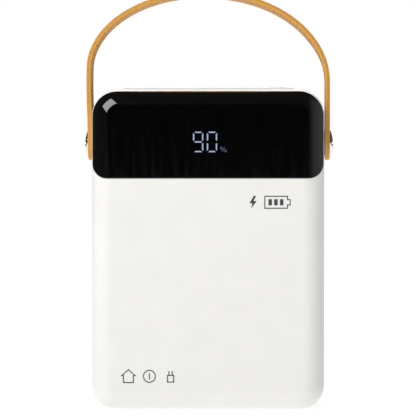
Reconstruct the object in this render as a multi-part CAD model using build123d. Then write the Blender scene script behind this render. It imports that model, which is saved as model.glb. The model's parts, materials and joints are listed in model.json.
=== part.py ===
from build123d import *
import os

# Portable lithium-polymer power bank: a white two-part case, a glossy black display panel wrapped
# over the top of the front face, and a leather carrying strap that turns on two shoulder screws.
# Millimetres. The origin is the middle of the base, +Z is up, and the display faces -Y.

# ---- Case ----
case_width = 98.0
case_depth = 50.0
case_height = 135.0
top_corner = 11.0  # front-view corner radii
bottom_corner = 10.0
edge_radius = 8.5  # round-over of the front and back rims
wall = 2.0
split_y = 12.0  # plane where the rear cover meets the main housing
split_gap = 0.2
lip_length = 2.0
lip_inset = 1.05
lip_gap = 0.08
hook_x = (30.0, 37.0)

# ---- Display panel ----
panel_side_inset = 0.3
panel_top_inset = 1.2
panel_bottom_z = 97.05
panel_top_corner = 10.4
panel_bottom_corner = 6.5
panel_thickness = 1.7
panel_rim_radius = 0.35
panel_back_y = -18.0
panel_gap = 0.05
tape_thickness = 0.25
tape_side_margin = 1.0
tape_bottom_margin = 2.0
tape_top_margin = 9.0
backing_inset = 3.3  # inner face of the wall that carries the panel
backing_back_y = -16.7
backing_margin = 1.6
window_half_width = 10.0
window_z = (105.5, 119.5)
window_gap = 0.3
module_gap = 0.15  # between the LED block and the panel
module_chamfer = 0.4

# ---- Digits: two seven-segment figures and a percent sign ----
digit_width = 4.3
digit_height = 8.6
digit_pitch = 5.8
digit_left_x = -6.1
digit_bottom_z = 108.1
stroke = 0.55
stroke_gap = 0.55
lens_depth = 0.6
lit_segments = ["abcdfg", "abcdef"]  # the figures 9 and 0
percent_left_x = 5.3
percent_width = 2.7
percent_height = 2.2
percent_stroke = 0.16
percent_ring_radius = 0.42
percent_slant = -32.0
pin_radius = 0.25
pin_pitch = 2.54
pins_in_row = 5
pin_row_inset = 1.2
pin_tail = 0.8

# ---- Carrying strap and its screws ----
pivot_z = 112.5
strap_width = 14.5
strap_thickness = 2.1
strap_inner_x = 49.55
strap_knees_z = (145.0, 138.6)  # left and right heights where the straight legs end and the arch begins
strap_apex_x = -1.7
strap_apex_z = 177.5
strap_hole_radius = 2.58
shoulder_radius = 2.5
screw_head_radius = 5.4
screw_rim = 0.35
screw_dome = 1.0
screw_head_gap = 0.05
screw_slot_width = 0.9
screw_slot_depth = 0.55
screw_length = 8.0  # threaded length inside the case
washer_radius = 5.2
washer_thickness = 0.5
insert_radius = 2.3
insert_inner_x = 41.6
handle_boss_radius = 5.2
handle_boss_inner_x = 40.4
thread_radius = 1.5
thread_gap = 0.05

# ---- Board, ports and button ----
board_front_y = -16.2
board_thickness = 1.6
board_half_width = 42.0
board_bottom_z = 101.5
board_top_z = 131.0
board_post_places = [(x, z) for x in (-38.0, 38.0) for z in (104.5, 127.0)]
board_post_radius = 2.6
board_screw_radius = 1.0
board_screw_head = (1.9, 1.3)  # radius and height
board_screw_length = 3.8
board_corner = 1.5
board_hole_gap = 0.1
post_bore_depth = 4.5  # the posts' bores start this far behind the front face
inductor_x = 9.0
inductor_z = 112.0
inductor_size = (10.0, 4.6)  # side and height
inductor_chamfer = 1.6
capacitor_x = (-33.0, -26.0, 26.0)
capacitor_z = 115.0
capacitor_base = (5.4, 0.8)  # side and height
capacitor_can = (2.5, 5.0)  # radius and height
chip_places = ((-30.0, 107.5), (13.0, 104.5), (30.0, 107.5))
chip_size = (5.0, 0.9)  # side and height
ceramic_columns = 5
ceramic_first_x = 24.8
ceramic_pitch = 2.2
ceramic_rows = (102.8, 104.0)
ceramic_size = (1.6, 0.8)  # length, and both width and height
port_mouth_z = 134.1
shell_wall = 0.3
foot_slack = 0.2  # around a tongue's foot in its shell
foot_height = 1.0
plate_half_width = 36.0
plate_front_y = -16.0
plate_back_y = -7.6
plate_seat_z = 134.2
plate_proud = 0.5
plate_gap = 0.1
plate_ledge = 0.7
plate_corner = 1.5
plate_chamfer = 0.25
port_clearance = 0.15
usb_a_x = {"left": -26.5, "right": -9.5}
usb_a_size = (13.1, 5.6, 14.0)  # width, height off the board, length
usb_a_tongue_size = (11.1, 1.8, 9.5)
usb_a_tongue_seat = 0.7
usb_a_foot_height = 3.0
usb_c_x = 5.5
usb_c_size = (8.94, 3.26, 7.3)
usb_c_tongue_size = (6.7, 0.7, 5.2)
micro_usb_x = 18.0
micro_usb_size = (7.5, 2.9, 6.5)
micro_usb_tongue_size = (3.9, 0.6, 3.5)
micro_usb_tongue_rise = 0.3
micro_usb_bevel = 1.0
micro_usb_foot_gap = 0.1
button_x = 29.5
button_y = -11.8
button_radius = 3.2
button_gap = 0.1
button_proud = 0.35
button_travel = 0.5
button_flange = (3.9, 0.8)  # radius and height
button_stem = (1.5, 2.7)  # radius and length
button_rim = 0.3
flange_gap = 0.3  # under the case's top wall
plunger_radius = 1.1
plunger_gap = 0.3
plunger_depth = 0.4  # how far the plunger stays inside the switch
plunger_spare = 0.8  # bore left under the plunger's full travel
switch_half_width = 3.0
switch_z = (123.0, 127.0)

# ---- Battery ----
cell_count = 4
cell_thickness = 9.8
cell_width = 84.0
cell_edge_radius = 2.5
cell_top_radius = 1.2
terrace_inset = 2.0
cell_bottom_z = 5.0
cell_body_top_z = 89.0
cell_terrace_top_z = 95.0
terrace_thickness = 1.6
terrace_root = 1.0
cell_pitch = 10.6
pad_half_width = 36.0
pad_z = (10.0, 86.0)
outer_pad_thickness = 2.0
bottom_pad_half = (28.0, 16.0)
bus_overhang = 2.0
tab_x = 20.0
tab_width = 8.0
strip_thickness = 0.3
retainer_bottom_z = 95.2
retainer_thickness = 1.7
retainer_inset = 3.6
rib_height = 1.2
rib_reach = 3.0
rib_half_depth = 10.0
slot_gap = 0.3  # beside a tab in the retainer
slot_half_depth = 0.5
wire_radius = 1.0
wire_start_y = 4.0
wire_level_z = 105.0
wire_bend = 7.0

# ---- Rear cover screws ----
cover_screw_x = 34.0
cover_screw_z = 122.0
cover_screw_radius = 1.3
cover_screw_head = (2.5, 1.8)  # radius and height
cover_screw_seat_y = 20.5
cover_screw_tip_y = 1.5
cover_boss_y = (0.0, 8.0)
cover_boss_half = 3.2
cover_tube_radius = 3.6
cover_tube_gap = 0.2
cover_screw_clearance = 0.2
hook_tip_y = 6.0
catch_back_y = 7.5
hook_gap = 0.15  # between the hook and the floor
hook_thickness = 1.8
hook_root = 3.0
catch_depth = 0.7
pocket_gap = 0.2
pocket_floor_gap = 0.1

# ---- Proportions of a pan-head screw's rounding and cross recess ----
head_rounding = 0.4
recess_reach = 0.55
recess_half_width = 0.12
recess_floor = 0.45

past = 1.0  # cutting tools run this far past the surface they open

board_back_y = board_front_y + board_thickness
front_y = -case_depth / 2
back_y = case_depth / 2
side_x = case_width / 2
strap_outer_x = strap_inner_x + strap_thickness
plate_top_z = case_height + plate_proud
retainer_top_z = retainer_bottom_z + retainer_thickness
cell_middles = [(i - (cell_count - 1) / 2) * cell_pitch for i in range(cell_count)]


# ---- Helpers ----
def slab(x0, x1, y0, y1, z0, z1):
    """A box between two corners."""
    middle = ((x0 + x1) / 2, (y0 + y1) / 2, (z0 + z1) / 2)
    return Pos(*middle) * Box(x1 - x0, y1 - y0, z1 - z0)


def rod(axis, radius, start, end, across):
    """A cylinder along a row axis from start to end; across holds its other two coordinates."""
    cylinder = Cylinder(radius, abs(end - start))
    middle = (start + end) / 2
    if axis == "X":
        return Pos(middle, across[0], across[1]) * Rot(0, 90, 0) * cylinder
    if axis == "Y":
        return Pos(across[0], middle, across[1]) * Rot(90, 0, 0) * cylinder
    return Pos(across[0], across[1], middle) * cylinder


def prism(outline, y_front, y_back):
    """Extrudes an XZ outline from y_front back to y_back."""
    return Pos(0, y_back, 0) * extrude(Plane.XZ * outline, y_back - y_front, dir=(0, -1, 0))


def upright(outline, z_bottom, z_top):
    """Extrudes an XY outline upwards."""
    return Pos(0, 0, z_bottom) * extrude(outline, z_top - z_bottom)


def mirrored(shape):
    """The same shape on the other side of the YZ plane."""
    return mirror(shape, Plane.YZ)


def both_sides(shape):
    """A shape and its mirror image, as separate solids."""
    return Compound([shape, mirrored(shape)])


def case_block(inset):
    """The case's solid outer form, offset inwards all round by inset."""
    block = Pos(0, 0, case_height / 2) * Box(
        case_width - 2 * inset, case_depth - 2 * inset, case_height - 2 * inset
    )
    corners = block.edges().filter_by(Axis.Y).sort_by(Axis.Z)
    block = fillet(corners[2:], top_corner - inset)
    corners = block.edges().filter_by(Axis.Y).sort_by(Axis.Z)
    block = fillet(corners[:2], bottom_corner - inset)
    faces = block.faces().sort_by(Axis.Y)
    rims = faces[0].edges() + faces[-1].edges()
    return fillet(rims, edge_radius - inset)


def panel_outline(grow):
    """The display panel's front-view outline, grown all round."""
    half = side_x - panel_side_inset + grow
    low = panel_bottom_z - grow
    high = case_height - panel_top_inset + grow
    outline = Pos(0, (low + high) / 2) * Rectangle(2 * half, high - low)
    corners = outline.vertices().sort_by(Axis.Y)
    outline = fillet(corners[2:], panel_top_corner + grow)
    corners = outline.vertices().group_by(Axis.Y)[0]
    return fillet(corners, panel_bottom_corner + grow)


def segment_outline(letter):
    """One bar of a seven-segment figure, with the figure's lower left corner at 0, 0."""
    w, h, s, g = digit_width, digit_height, stroke, stroke_gap
    mid = h / 2
    top = [(g, h), (w - g, h), (w - g - s, h - s), (g + s, h - s)]
    upper_left = [(0, h - g), (s, h - g - s), (s, mid + s / 2 + g), (s / 2, mid + g), (0, mid + g)]
    taper = g + s / 2
    middle = [(g, mid), (taper, mid + s / 2), (w - taper, mid + s / 2)]
    middle += [(w - g, mid), (w - taper, mid - s / 2), (taper, mid - s / 2)]
    shapes = {
        "a": top,
        "d": [(x, h - z) for x, z in top],
        "f": upper_left,
        "b": [(w - x, z) for x, z in upper_left],
        "e": [(x, h - z) for x, z in upper_left],
        "c": [(w - x, h - z) for x, z in upper_left],
        "g": middle,
    }
    return Polygon(*shapes[letter], align=None)


# ---- Display ----
def digit_lenses():
    """The lit bars of both figures, inlaid flush in the panel's front face."""
    bars = []
    for place, letters in enumerate(lit_segments):
        corner = (digit_left_x + place * digit_pitch, digit_bottom_z)
        for letter in letters:
            outline = Pos(*corner) * segment_outline(letter)
            bars.append(prism(outline, front_y, front_y + lens_depth))
    return Compound(bars)


def percent_lens():
    """The small percent sign: a slash and two rings, clear of one another."""
    outer_radius = percent_ring_radius + percent_stroke / 2
    ring = Circle(outer_radius) - Circle(outer_radius - percent_stroke)
    reach_x = percent_width / 2 - outer_radius
    reach_z = percent_height / 2 - outer_radius
    middle_x = percent_left_x + percent_width / 2
    middle_z = digit_bottom_z + percent_height / 2
    slash = Rot(0, 0, percent_slant) * Rectangle(percent_stroke, percent_height)
    marks = [
        Pos(middle_x - reach_x, middle_z + reach_z) * ring,
        Pos(middle_x + reach_x, middle_z - reach_z) * ring,
        Pos(middle_x, middle_z) * slash,
    ]
    return Compound([prism(mark, front_y, front_y + lens_depth) for mark in marks])


def display_panel(outer, lenses):
    """Glossy black cap over the top of the front face, following the case's own curves."""
    cutter = prism(panel_outline(0), front_y - past, panel_back_y)
    panel = (outer - case_block(panel_thickness)) & cutter
    skin = outer.faces()
    outline_walls = [face for face in cutter.faces() if abs(face.normal_at().Y) < 0.5]
    rim = [edge for edge in panel.edges() if lies_on(edge, skin) and lies_on(edge, outline_walls)]
    panel = fillet(rim, panel_rim_radius)
    for lens in lenses:
        panel -= lens
    return panel


def lies_on(edge, faces):
    """True for an edge that follows one of the faces along its whole length."""
    touch = 0.001
    points = [edge @ along for along in (0.25, 0.5, 0.75)]
    return all(min(face.distance_to(point) for face in faces) < touch for point in points)


def window(gap, z_range, y_front, y_back):
    """The display window's block, grown by gap."""
    half = window_half_width + gap
    return slab(-half, half, y_front, y_back, z_range[0] - gap, z_range[1] + gap)


def panel_tape():
    """Adhesive sheet between the flat of the panel and its backing."""
    face_y = front_y + panel_thickness
    half = side_x - top_corner - tape_side_margin
    low = panel_bottom_z + tape_bottom_margin
    high = case_height - tape_top_margin
    sheet = slab(-half, half, face_y, face_y + tape_thickness, low, high)
    return sheet - window(window_gap, window_z, face_y - past, face_y + past)


def display_module():
    """The LED block that shines through the digit bars."""
    face_y = front_y + panel_thickness + module_gap
    block = window(0, window_z, face_y, board_front_y)
    front_edges = block.faces().sort_by(Axis.Y)[0].edges()
    return chamfer(front_edges, module_chamfer)


def display_pins():
    """Two rows of pins from the LED block through the board."""
    reach = (pins_in_row - 1) / 2
    pins = []
    for row in range(pins_in_row):
        for z in (window_z[0] + pin_row_inset, window_z[1] - pin_row_inset):
            across = ((row - reach) * pin_pitch, z)
            pins.append(rod("Y", pin_radius, board_front_y, board_back_y + pin_tail, across))
    return pins


# ---- Case ----
def handle_boss():
    """The right-hand boss that carries a handle insert, inside the side wall."""
    return rod("X", handle_boss_radius, handle_boss_inner_x, side_x - wall / 2, (0, pivot_z))


def handle_bore():
    """The hole for the right-hand insert."""
    return rod("X", insert_radius, handle_boss_inner_x - past, side_x + past, (0, pivot_z))


def board_posts(core):
    """Four pillars that the board screws onto, standing on the panel's backing."""
    posts = Part()
    for place in board_post_places:
        posts += rod("Y", board_post_radius, front_y, board_front_y, place)
    return posts & core


def retainer_ribs():
    """The right-hand pair of ribs that the cell retainer slides between."""
    x0 = side_x - wall - rib_reach
    x1 = side_x - wall / 2
    lower = slab(x0, x1, -rib_half_depth, rib_half_depth, retainer_bottom_z - rib_height, retainer_bottom_z)
    upper = slab(x0, x1, -rib_half_depth, rib_half_depth, retainer_top_z, retainer_top_z + rib_height)
    return lower + upper


def cover_boss():
    """The right-hand block under the top wall that a cover screw bites."""
    half = cover_boss_half
    block = slab(
        cover_screw_x - half, cover_screw_x + half, *cover_boss_y,
        cover_screw_z - half, case_height - wall / 2,
    )
    place = (cover_screw_x, cover_screw_z)
    return block - rod("Y", cover_screw_radius, cover_boss_y[0] - past, cover_boss_y[1] + past, place)


def cover_hook():
    """The right-hand tab at the foot of the rear cover."""
    floor = wall + hook_gap
    top = floor + hook_thickness
    root_back_y = split_y + hook_root
    tab = slab(*hook_x, hook_tip_y, root_back_y, floor, top)
    catch = slab(*hook_x, hook_tip_y, catch_back_y, wall - catch_depth, floor)
    root = slab(*hook_x, split_y + split_gap, root_back_y, wall / 2, top)
    return tab + catch + root


def hook_pocket():
    """The notch in the floor that the right-hand catch snaps into."""
    gap = pocket_gap
    floor = wall - catch_depth - pocket_floor_gap
    return slab(
        hook_x[0] - gap, hook_x[1] + gap, hook_tip_y - gap, catch_back_y + gap,
        floor, wall + pocket_floor_gap,
    )


def cover_tube():
    """The right-hand screw tube inside the rear cover."""
    place = (cover_screw_x, cover_screw_z)
    return rod("Y", cover_tube_radius, cover_boss_y[1] + cover_tube_gap, back_y - wall / 2, place)


def cover_screw_hole():
    """Clearance hole and counterbore for the right-hand cover screw."""
    place = (cover_screw_x, cover_screw_z)
    hole = rod("Y", cover_screw_radius + cover_screw_clearance, cover_boss_y[1], back_y, place)
    head_radius = cover_screw_head[0] + cover_screw_clearance
    counterbore = rod("Y", head_radius, cover_screw_seat_y, back_y + past, place)
    return hole + counterbore


def plate_outline(grow):
    """The port plate's outline seen from above, grown all round."""
    width = 2 * (plate_half_width + grow)
    depth = plate_back_y - plate_front_y + 2 * grow
    outline = RectangleRounded(width, depth, plate_corner + grow)
    return Pos(0, (plate_front_y + plate_back_y) / 2) * outline


def housing(outer):
    """Main shell: front face, sides, top and base, open at the back."""
    front_half = slab(-side_x, side_x, front_y, split_y, 0, case_height)
    backing_zone = prism(panel_outline(backing_margin), front_y - past, backing_back_y)
    backing = (case_block(wall / 2) & backing_zone) - case_block(backing_inset)
    core = case_block(panel_thickness + tape_thickness)
    recess_zone = prism(panel_outline(panel_gap), front_y - past, panel_back_y + panel_gap)

    shell = (outer & front_half) - case_block(wall)
    shell += backing
    shell -= (outer - core) & recess_zone
    shell += board_posts(core)
    for place in board_post_places:
        shell -= rod("Y", board_screw_radius, front_y + post_bore_depth, board_front_y + past, place)
    shell -= window(window_gap, window_z, front_y - past, backing_back_y)
    for side in (lambda shape: shape, mirrored):
        shell += side(handle_boss())
        shell -= side(handle_bore())
        shell += side(retainer_ribs())
        shell += side(cover_boss())
        shell -= side(hook_pocket())
    shell -= upright(plate_outline(plate_gap), plate_seat_z, case_height + past)
    shell -= upright(plate_outline(-plate_ledge), case_height - wall - past, case_height + past)
    lip_zone = slab(-side_x, side_x, split_y - lip_length - lip_gap, split_y, 0, case_height)
    return shell - (case_block(lip_inset - lip_gap) & lip_zone)


def rear_cover(outer):
    """Back shell with a lip that enters the housing, two hooks and two screw tubes."""
    rear_half = slab(-side_x, side_x, split_y + split_gap, back_y, 0, case_height)
    cover = (outer & rear_half) - case_block(wall)
    lip_zone = slab(-side_x, side_x, split_y - lip_length, split_y + past, 0, case_height)
    cover += (case_block(lip_inset) - case_block(wall)) & lip_zone
    for side in (lambda shape: shape, mirrored):
        cover += side(cover_hook())
        cover += side(cover_tube())
        cover -= side(cover_screw_hole())
    return cover


def pan_screw(axis_place, seat_y, tip_y, radius, head):
    """A pan-head screw along Y, with its head behind the seat and a cross recess."""
    head_radius, head_height = head
    shank = rod("Y", radius, tip_y, seat_y, axis_place)
    cap = rod("Y", head_radius, seat_y, seat_y + head_height, axis_place)
    rim = cap.faces().sort_by(Axis.Y)[-1].edges()
    cap = fillet(rim, head_height * head_rounding)
    x, z = axis_place
    arm = head_radius * recess_reach
    slot = head_radius * recess_half_width
    floor = seat_y + head_height * recess_floor
    cross = slab(x - arm, x + arm, floor, seat_y + 2 * head_height, z - slot, z + slot)
    cross += slab(x - slot, x + slot, floor, seat_y + 2 * head_height, z - arm, z + arm)
    return shank + cap - cross


def cover_screws():
    place = (cover_screw_x, cover_screw_z)
    screw = pan_screw(
        place, cover_screw_seat_y, cover_screw_tip_y, cover_screw_radius, cover_screw_head
    )
    return both_sides(screw)


# ---- Board ----
def main_board():
    """The circuit board that stands behind the panel, with holes for its screws and the LED pins."""
    half = board_half_width
    board = slab(-half, half, board_front_y, board_back_y, board_bottom_z, board_top_z)
    board = fillet(board.edges().filter_by(Axis.Y), board_corner)
    for place in board_post_places:
        hole_radius = board_screw_radius + board_hole_gap
        board -= rod("Y", hole_radius, board_front_y - past, board_back_y + past, place)
    for pin in display_pins():
        board -= pin
    return board


def board_screws():
    tip_y = board_front_y - board_screw_length
    return Compound([
        pan_screw(place, board_back_y, tip_y, board_screw_radius, board_screw_head)
        for place in board_post_places
    ])


def on_board(x, z, width, height, thickness):
    """A block on the board's rear face, centred at x and z."""
    y0 = board_back_y
    return slab(x - width / 2, x + width / 2, y0, y0 + thickness, z - height / 2, z + height / 2)


def inductors():
    """Two shielded power inductors with chamfered corners."""
    coils = []
    side, height = inductor_size
    for x in (-inductor_x, inductor_x):
        block = on_board(x, inductor_z, side, side, height)
        coils.append(chamfer(block.edges().filter_by(Axis.Y), inductor_chamfer))
    return Compound(coils)


def capacitors():
    """Electrolytic cans with their square bases."""
    cans = []
    side, base_height = capacitor_base
    radius, can_height = capacitor_can
    can_y = board_back_y + base_height
    for x in capacitor_x:
        base = on_board(x, capacitor_z, side, side, base_height)
        can = rod("Y", radius, can_y, can_y + can_height, (x, capacitor_z))
        cans.append(base + can)
    return Compound(cans)


def controller_chips():
    side, height = chip_size
    return Compound([on_board(x, z, side, side, height) for x, z in chip_places])


def chip_components():
    """Two rows of small ceramic parts at each lower corner of the board."""
    parts = []
    length, width = ceramic_size
    for column in range(ceramic_columns):
        for z in ceramic_rows:
            part = on_board(ceramic_first_x + column * ceramic_pitch, z, length, width, width)
            parts += [part, mirrored(part)]
    return Compound(parts)


def socket_shell(outline, bore, length):
    """A metal socket tube along Z with a closed bottom, its mouth just under the port plate."""
    tube = upright(outline, port_mouth_z - length, port_mouth_z)
    return tube - upright(bore, port_mouth_z - length + shell_wall, port_mouth_z + past)


def port_y(height):
    """Middle of a socket of this height lying on the board's rear face."""
    return board_back_y + height / 2


def usb_a(side):
    """Shell and tongue of one USB-A socket."""
    width, height, length = usb_a_size
    place = Pos(usb_a_x[side], port_y(height))
    outline = place * Rectangle(width, height)
    bore = place * Rectangle(width - 2 * shell_wall, height - 2 * shell_wall)
    tongue_width, thickness, reach = usb_a_tongue_size
    floor = port_mouth_z - length + shell_wall
    tongue_place = place * Pos(0, -height / 2 + shell_wall + usb_a_tongue_seat + thickness / 2)
    foot_top = floor + usb_a_foot_height
    tongue = upright(tongue_place * Rectangle(tongue_width, thickness), floor, foot_top + reach)
    foot_depth = height - 2 * shell_wall - foot_slack
    foot = upright(place * Rectangle(tongue_width, foot_depth), floor, foot_top)
    return socket_shell(outline, bore, length), tongue + foot


def usb_c():
    """Shell and tongue of the USB-C socket."""
    width, height, length = usb_c_size
    place = Pos(usb_c_x, port_y(height))
    outline = place * SlotOverall(width, height)
    bore = place * SlotOverall(width - 2 * shell_wall, height - 2 * shell_wall)
    tongue_width, thickness, reach = usb_c_tongue_size
    floor = port_mouth_z - length + shell_wall
    tongue = upright(place * Rectangle(tongue_width, thickness), floor, floor + reach)
    shrink = 2 * shell_wall + foot_slack
    foot = upright(place * SlotOverall(width - shrink, height - shrink), floor, floor + foot_height)
    return socket_shell(outline, bore, length), tongue + foot


def micro_usb():
    """Shell and tongue of the micro-USB socket, with its two bevelled corners."""
    width, height, length = micro_usb_size
    place = Pos(micro_usb_x, port_y(height))

    def trapezoid(shrink):
        shape = Rectangle(width - 2 * shrink, height - 2 * shrink)
        return place * chamfer(shape.vertices().group_by(Axis.Y)[-1], micro_usb_bevel - shrink / 2)

    tongue_width, thickness, reach = micro_usb_tongue_size
    floor = port_mouth_z - length + shell_wall
    blade = place * Pos(0, micro_usb_tongue_rise) * Rectangle(tongue_width, thickness)
    tongue = upright(blade, floor, floor + reach)
    foot = upright(trapezoid(shell_wall + micro_usb_foot_gap), floor, floor + foot_height)
    return socket_shell(trapezoid(0), trapezoid(shell_wall), length), tongue + foot


def port_plate():
    """The strip in the top face with the mouths of the four sockets and the button's hole."""
    plate = upright(plate_outline(0), plate_seat_z, plate_top_z)
    plate = chamfer(plate.faces().sort_by(Axis.Z)[-1].edges(), plate_chamfer)
    clear = 2 * port_clearance
    for x in usb_a_x.values():
        width, height, length = usb_a_size
        mouth = Rectangle(width - 2 * shell_wall + clear, height - 2 * shell_wall + clear)
        plate -= upright(Pos(x, port_y(height)) * mouth, plate_seat_z - past, plate_top_z + past)
    for x, (width, height, length) in ((usb_c_x, usb_c_size), (micro_usb_x, micro_usb_size)):
        mouth = SlotOverall(width - 2 * shell_wall + clear, height - 2 * shell_wall + clear)
        plate -= upright(Pos(x, port_y(height)) * mouth, plate_seat_z - past, plate_top_z + past)
    hole = Pos(button_x, button_y) * Circle(button_radius + button_gap)
    return plate - upright(hole, plate_seat_z - past, plate_top_z + past)


def tactile_switch():
    """The switch body on the board, with the hole that its plunger moves in."""
    y1 = button_y + switch_half_width
    half = switch_half_width
    body = slab(button_x - half, button_x + half, board_back_y, y1, *switch_z)
    bore_floor = switch_z[1] - button_travel - plunger_spare
    bore_radius = plunger_radius + plunger_gap
    return body - rod("Z", bore_radius, bore_floor, switch_z[1] + past, (button_x, button_y))


def power_button():
    """Push button: cap, retaining flange and stem."""
    flange_radius, flange_height = button_flange
    stem_radius, stem_length = button_stem
    flange_top = case_height - wall - flange_gap
    flange_bottom = flange_top - flange_height
    across = (button_x, button_y)
    cap = rod("Z", button_radius, flange_top, plate_top_z + button_proud, across)
    cap = fillet(cap.faces().sort_by(Axis.Z)[-1].edges(), button_rim)
    flange = rod("Z", flange_radius, flange_bottom, flange_top, across)
    stem = rod("Z", stem_radius, flange_bottom - stem_length, flange_bottom, across)
    return cap + flange + stem


def switch_plunger():
    """The switch's own plunger, which the button's stem rests on."""
    top = case_height - wall - flange_gap - button_flange[1] - button_stem[1]
    return rod("Z", plunger_radius, switch_z[1] - plunger_depth, top, (button_x, button_y))


# ---- Battery ----
def cell(middle_y):
    """A pouch cell: soft-edged body with the thin sealed terrace along its top."""
    half = cell_width / 2
    y0 = middle_y - cell_thickness / 2
    y1 = middle_y + cell_thickness / 2
    body = slab(-half, half, y0, y1, cell_bottom_z, cell_body_top_z)
    body = fillet(body.edges().filter_by(Axis.Z), cell_edge_radius)
    body = fillet(body.faces().sort_by(Axis.Z)[-1].edges(), cell_top_radius)
    thin = terrace_thickness / 2
    reach = half - terrace_inset
    root_z = cell_body_top_z - terrace_root
    terrace = slab(-reach, reach, middle_y - thin, middle_y + thin, root_z, cell_terrace_top_z)
    return body + terrace


def cell_pads():
    """Foam sheets between the cells and against both faces of the case."""
    pads = []
    half_cell = cell_thickness / 2
    for middle in cell_middles[:-1]:
        y0 = middle + half_cell
        y1 = middle + cell_pitch - half_cell
        pads.append(slab(-pad_half_width, pad_half_width, y0, y1, *pad_z))
    outer_face = cell_middles[-1] + half_cell
    for y0 in (outer_face, -outer_face - outer_pad_thickness):
        y1 = y0 + outer_pad_thickness
        pads.append(slab(-pad_half_width, pad_half_width, y0, y1, *pad_z))
    return Compound(pads)


def bottom_pad():
    """The foam block that the cells stand on."""
    half_width, half_depth = bottom_pad_half
    return slab(-half_width, half_width, -half_depth, half_depth, wall, cell_bottom_z)


def tab_row(x):
    """The four tabs of one pole, from the terraces up to the bus strip."""
    thin = strip_thickness / 2
    half = tab_width / 2
    return Compound([
        slab(x - half, x + half, middle - thin, middle + thin, cell_terrace_top_z, retainer_top_z)
        for middle in cell_middles
    ])


def bus(x):
    """The nickel strip that joins the tabs of one pole."""
    half = tab_width / 2
    y0 = cell_middles[0] - bus_overhang
    y1 = cell_middles[-1] + bus_overhang
    return slab(x - half, x + half, y0, y1, retainer_top_z, retainer_top_z + strip_thickness)


def cell_retainer():
    """The plate over the cells, with slots that the tabs come up through."""
    layer = slab(-side_x, side_x, front_y, back_y, retainer_bottom_z, retainer_top_z)
    plate = case_block(retainer_inset) & layer
    slot_half = tab_width / 2 + slot_gap
    for x in (-tab_x, tab_x):
        for middle in cell_middles:
            plate -= slab(
                x - slot_half, x + slot_half, middle - slot_half_depth, middle + slot_half_depth,
                retainer_bottom_z - past, retainer_top_z + past,
            )
    return plate


def battery_wire(x):
    """A silicone lead that rises from the bus strip and bends forward to the board."""
    corner = (x, wire_start_y, wire_level_z)
    start = (x, wire_start_y, retainer_top_z + strip_thickness)
    path = FilletPolyline(start, corner, (x, board_back_y, wire_level_z), radius=wire_bend)
    section = Plane(origin=start, z_dir=(0, 0, 1)) * Circle(wire_radius)
    return sweep(section, path=path)


# ---- Carrying strap ----
def handle_insert():
    """Right-hand threaded brass insert."""
    across = (0, pivot_z)
    body = rod("X", insert_radius, insert_inner_x, side_x, across)
    return body - rod("X", thread_radius + thread_gap, insert_inner_x - past, side_x + past, across)


def handle_screw():
    """Right-hand shoulder screw with a low domed, slotted head."""
    across = (0, pivot_z)
    seat = strap_outer_x + screw_head_gap
    rim = seat + screw_rim
    tip = rim + screw_dome
    dome_radius = (screw_head_radius**2 + screw_dome**2) / (2 * screw_dome)
    with BuildLine() as profile:
        Line((seat, 0), (seat, screw_head_radius))
        Line((seat, screw_head_radius), (rim, screw_head_radius))
        RadiusArc((rim, screw_head_radius), (tip, 0), dome_radius)
        Line((tip, 0), (seat, 0))
    head = Pos(0, 0, pivot_z) * revolve(make_face(profile.line), Axis.X)
    slot_half = screw_slot_width / 2
    head -= slab(
        tip - screw_slot_depth, tip + past, -screw_head_radius, screw_head_radius,
        pivot_z - slot_half, pivot_z + slot_half,
    )
    shoulder = rod("X", shoulder_radius, side_x, seat, across)
    thread = rod("X", thread_radius, side_x - screw_length, side_x, across)
    return head + shoulder + thread


def handle_washer():
    """Right-hand nylon washer between case and strap."""
    across = (0, pivot_z)
    disc = rod("X", washer_radius, side_x, side_x + washer_thickness, across)
    hole_end = side_x + washer_thickness + past
    return disc - rod("X", shoulder_radius + thread_gap, side_x - past, hole_end, across)


def arch(inset):
    """Outline under the strap's outer curve moved inwards: straight legs and two quarter ellipses."""
    left = -strap_outer_x + inset
    right = strap_outer_x - inset
    left_knee, right_knee = strap_knees_z
    top = strap_apex_z - inset
    foot = pivot_z - strap_width
    with BuildLine() as outline:
        Line((left, foot), (left, left_knee))
        EllipticalCenterArc(
            (strap_apex_x, left_knee), strap_apex_x - left, top - left_knee, start_angle=90, arc_size=90
        )
        EllipticalCenterArc(
            (strap_apex_x, right_knee), right - strap_apex_x, top - right_knee, start_angle=0, arc_size=90
        )
        Line((right, right_knee), (right, foot))
        Line((right, foot), (left, foot))
    return make_face(outline.line)


def handle_strap():
    """The leather strap: an arch with round feet, turning on the two shoulders."""
    half = strap_width / 2
    strap = prism(arch(0), -half, half) - prism(arch(strap_thickness), -half - past, half + past)
    beyond = strap_outer_x + past
    below = slab(-beyond, beyond, -half, half, pivot_z - strap_width, pivot_z)
    round_foot = rod("X", half, -beyond, beyond, (0, pivot_z))
    strap -= below - round_foot
    return strap - rod("X", strap_hole_radius, -beyond, beyond, (0, pivot_z))


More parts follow.
